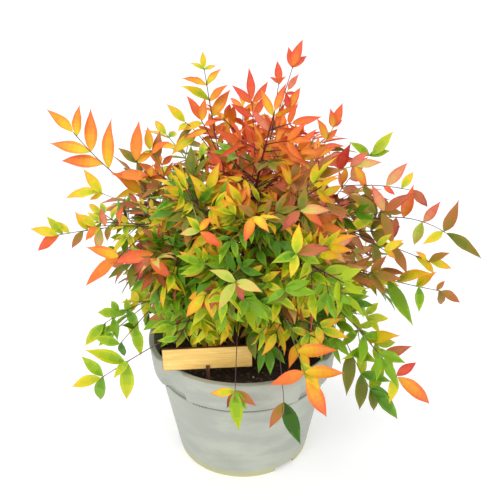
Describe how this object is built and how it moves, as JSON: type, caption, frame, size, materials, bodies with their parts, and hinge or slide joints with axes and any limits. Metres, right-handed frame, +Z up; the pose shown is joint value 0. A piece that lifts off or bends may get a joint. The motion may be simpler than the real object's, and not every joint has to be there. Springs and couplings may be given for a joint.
{
  "type": "potted heavenly bamboo shrub",
  "caption": "Multi-caned evergreen shrub in autumn colours, standing in a round grey nursery pot with a bare wooden label.",
  "frame": {"origin": "the middle of the pot's flat underside", "axes": "+Z up along the pot's axis, -Y towards the front of the plant, where the label stands, +X to the right seen from the front"},
  "size_m": [0.6084, 0.4842, 0.5848],
  "materials": {
    "pot_plastic": "moulded light grey plastic with a soft sheen, a little dusty and yellowed towards the foot",
    "potting_soil": "damp dark brown peat and bark compost",
    "label_wood": "bare pale plywood with a fine grain and darker cut edges",
    "stake_wood": "dark stained wood",
    "cane_bark": "brown ribbed bark with leaf-base scars",
    "bough_bark": "smooth purplish brown leaf stalk",
    "foliage_scarlet": "coral red autumn leaves",
    "foliage_orange": "orange autumn leaves with green midribs",
    "foliage_amber": "golden yellow and amber leaves",
    "foliage_yellow_green": "yellow-green leaves turning orange at the tips",
    "foliage_bronze": "dusty pink and bronze leaves over green",
    "foliage_green": "glossy mid green and deep green leaves",
    "foliage_lime": "fresh lime green leaves"
  },
  "bodies": {
    "root": {"pot": "pot_plastic", "soil": "potting_soil", "label_board": "label_wood", "label_stake": "stake_wood", "top_right_spire_cane": "cane_bark", "top_left_spire_cane": "cane_bark", "top_front_cane": "cane_bark", "top_back_cane": "cane_bark", "left_high_cane": "cane_bark", "right_high_cane": "cane_bark", "front_left_high_cane": "cane_bark", "front_right_high_cane": "cane_bark", "back_right_high_cane": "cane_bark", "back_left_high_cane": "cane_bark", "left_mid_bough": "bough_bark", "right_mid_bough": "bough_bark", "front_left_mid_bough": "bough_bark", "front_high_bough": "bough_bark", "front_mid_bough": "bough_bark", "front_right_mid_bough": "bough_bark", "back_right_mid_bough": "bough_bark", "back_mid_bough": "bough_bark", "back_left_mid_bough": "bough_bark", "left_low_bough": "bough_bark", "right_low_bough": "bough_bark", "front_right_low_bough": "bough_bark", "front_low_bough": "bough_bark", "front_left_low_bough": "bough_bark", "left_back_low_bough": "bough_bark", "back_left_low_bough": "bough_bark", "back_right_low_bough": "bough_bark", "right_back_low_bough": "bough_bark", "top_right_spire_foliage": "foliage_scarlet", "top_left_spire_foliage": "foliage_orange", "top_front_foliage": "foliage_scarlet", "top_back_foliage": "foliage_orange", "left_high_foliage": "foliage_orange", "right_high_foliage": "foliage_scarlet", "front_left_high_foliage": "foliage_amber", "front_right_high_foliage": "foliage_amber", "back_right_high_foliage": "foliage_orange", "back_left_high_foliage": "foliage_amber", "left_mid_foliage": "foliage_yellow_green", "right_mid_foliage": "foliage_bronze", "front_left_mid_foliage": "foliage_yellow_green", "front_high_foliage": "foliage_yellow_green", "front_mid_foliage": "foliage_green", "front_right_mid_foliage": "foliage_green", "back_right_mid_foliage": "foliage_bronze", "back_mid_foliage": "foliage_yellow_green", "back_left_mid_foliage": "foliage_bronze", "left_low_foliage": "foliage_lime", "right_low_foliage": "foliage_green", "front_right_low_foliage": "foliage_amber", "front_low_foliage": "foliage_lime", "front_left_low_foliage": "foliage_green", "left_back_low_foliage": "foliage_green", "back_left_low_foliage": "foliage_lime", "back_right_low_foliage": "foliage_green", "right_back_low_foliage": "foliage_yellow_green"}
  },
  "joints": []
}
